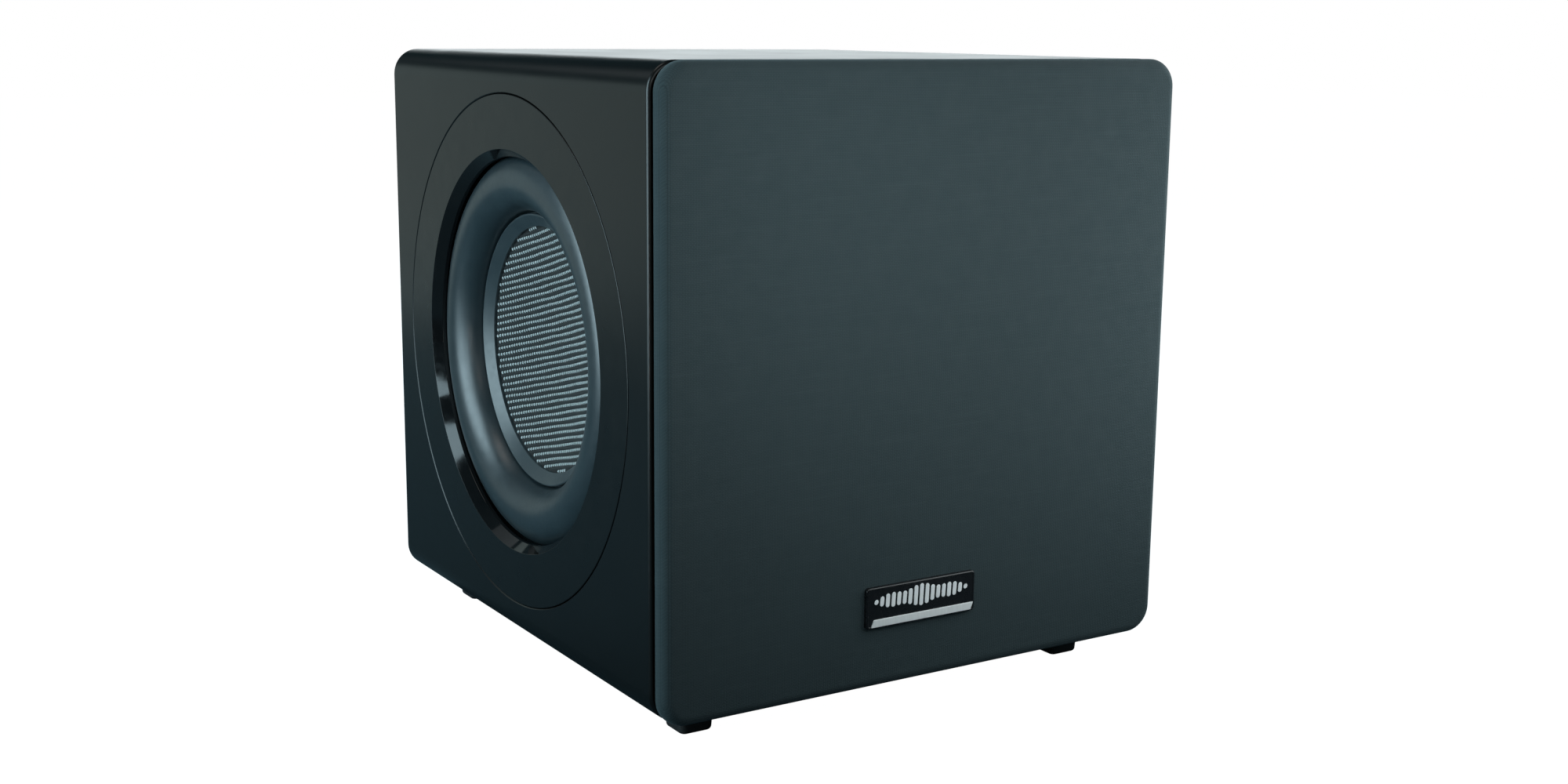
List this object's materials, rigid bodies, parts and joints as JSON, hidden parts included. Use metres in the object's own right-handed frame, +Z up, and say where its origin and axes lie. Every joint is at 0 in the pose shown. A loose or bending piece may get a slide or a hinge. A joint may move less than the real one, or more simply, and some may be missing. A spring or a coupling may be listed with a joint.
{
  "type": "powered subwoofer",
  "caption": "Compact cube powered subwoofer: cloth-covered front driver, a passive radiator with a woven dish in each side, and a rear amplifier plate.",
  "frame": {"origin": "on the floor under the middle of the bounding box", "axes": "+Z up, front grille towards -Y, sides towards -X and +X"},
  "size_m": [0.233, 0.2604, 0.2485],
  "materials": {
    "lacquer": "satin black lacquer over fibreboard",
    "trim_lacquer": "satin black face with a polished lip",
    "grille_cloth": "fine knitted acoustic cloth, dark slate",
    "fibreboard": "black-stained fibreboard",
    "wadding": "bonded polyester wadding",
    "foot_rubber": "moulded rubber",
    "foam": "closed-cell foam",
    "roll_rubber": "satin moulded rubber",
    "ring_rubber": "satin grey moulded ring",
    "woven_fibre": "woven grey fibre over a dark backing",
    "paper_cone": "coated pressed fibre",
    "moulded_black": "moulded black plastic",
    "frame_black": "glass-filled black plastic",
    "black_steel": "black zinc plating",
    "cast_black": "die-cast, fine black powder coat",
    "plated_steel": "zinc plate",
    "ferrite": "sintered ferrite",
    "copper_coil": "enamelled wire",
    "coil_form": "thin aluminium",
    "spider_cloth": "impregnated woven cloth",
    "board_green": "solder-masked laminate",
    "can_black": "sleeved can",
    "jack_metal": "gold-flashed brass",
    "jack_red": "coloured insert",
    "badge_black": "gloss black",
    "badge_silver": "satin silver",
    "blade_metal": "nickel plate",
    "lamp_blue": "clear blue light pipe",
    "fuse_glass": "clear glass tube",
    "lead_sleeve": "soft insulation"
  },
  "bodies": {
    "cabinet": {"cabinet_shell": "lacquer", "acoustic_wadding": "wadding", "rubber_feet": "foot_rubber", "foot_screws": "black_steel", "foam_gaskets": "foam", "unit_screws": "black_steel", "grille_sockets": "foot_rubber", "driver_frame": "cast_black", "driver_top_plate": "plated_steel", "driver_magnet": "ferrite", "driver_yoke": "plated_steel", "driver_terminal": "moulded_black", "driver_braids": "copper_coil", "amp_plate": "cast_black", "amp_screws": "black_steel", "amp_enclosure": "plated_steel", "circuit_board": "board_green", "capacitors": "can_black", "transformer": "ferrite", "control_pots": "plated_steel", "switch_bodies": "moulded_black", "line_jacks": "jack_metal", "line_jack_inserts": "jack_red", "mains_inlet": "moulded_black", "inlet_pins": "blade_metal", "status_led": "lamp_blue", "speaker_leads": "lead_sleeve", "left_trim_ring": "trim_lacquer", "left_radiator_frame": "frame_black", "right_trim_ring": "trim_lacquer", "right_radiator_frame": "frame_black"},
    "driver_piston": {"driver_cone": "paper_cone", "driver_dust_cap": "paper_cone", "voice_coil_former": "coil_form", "voice_coil": "copper_coil", "driver_surround": "roll_rubber", "driver_spider": "spider_cloth"},
    "grille": {"grille_frame": "fibreboard", "grille_cloth": "grille_cloth", "badge_plate": "badge_black", "badge_strip": "badge_silver"},
    "volume_knob": {"volume_knob": "moulded_black"},
    "crossover_knob": {"crossover_knob": "moulded_black"},
    "phase_lever": {"phase_lever": "moulded_black"},
    "mode_lever": {"mode_lever": "moulded_black"},
    "power_rocker": {"power_rocker": "moulded_black"},
    "fuse_drawer": {"fuse_drawer": "moulded_black", "fuse": "fuse_glass"},
    "left_piston": {"left_radiator_ring": "ring_rubber", "left_radiator_dish": "woven_fibre", "left_radiator_hub": "moulded_black", "left_radiator_weight": "plated_steel", "left_radiator_surround": "roll_rubber", "left_radiator_spider": "spider_cloth"},
    "right_piston": {"right_radiator_ring": "ring_rubber", "right_radiator_dish": "woven_fibre", "right_radiator_hub": "moulded_black", "right_radiator_weight": "plated_steel", "right_radiator_surround": "roll_rubber", "right_radiator_spider": "spider_cloth"}
  },
  "joints": [
    {"name": "driver_stroke", "type": "slide", "parent": "cabinet", "child": "driver_piston", "axis": [0, -1, 0], "range_m": [-0.008, 0.008], "stiffness_N_per_m": 2500, "deforming": ["driver_surround", "driver_spider", "driver_braids"]},
    {"name": "left_radiator_stroke", "type": "slide", "parent": "cabinet", "child": "left_piston", "axis": [-1, 0, 0], "range_m": [-0.01, 0.01], "stiffness_N_per_m": 3500, "deforming": ["left_radiator_surround", "left_radiator_spider"]},
    {"name": "right_radiator_stroke", "type": "slide", "parent": "cabinet", "child": "right_piston", "axis": [1, 0, 0], "range_m": [-0.01, 0.01], "stiffness_N_per_m": 3500, "deforming": ["right_radiator_surround", "right_radiator_spider"]},
    {"name": "grille_pull", "type": "slide", "parent": "cabinet", "child": "grille", "axis": [0, -1, 0], "range_m": [0, 0.03]},
    {"name": "volume_turn", "type": "hinge", "parent": "cabinet", "child": "volume_knob", "pos_m": [0.048, 0.1182, 0.1885], "axis": [0, 1, 0], "range_deg": [-150, 150]},
    {"name": "crossover_turn", "type": "hinge", "parent": "cabinet", "child": "crossover_knob", "pos_m": [0.008, 0.1182, 0.1885], "axis": [0, 1, 0], "range_deg": [-150, 150]},
    {"name": "phase_slide", "type": "slide", "parent": "cabinet", "child": "phase_lever", "axis": [-1, 0, 0], "range_m": [0, 0.004]},
    {"name": "mode_slide", "type": "slide", "parent": "cabinet", "child": "mode_lever", "axis": [-1, 0, 0], "range_m": [-0.002, 0.002]},
    {"name": "power_rock", "type": "hinge", "parent": "cabinet", "child": "power_rocker", "pos_m": [-0.04, 0.1162, 0.1325], "axis": [-1, 0, 0], "range_deg": [0, 14]},
    {"name": "fuse_drawer_pull", "type": "slide", "parent": "cabinet", "child": "fuse_drawer", "axis": [0, 1, 0], "range_m": [0, 0.014]}
  ]
}
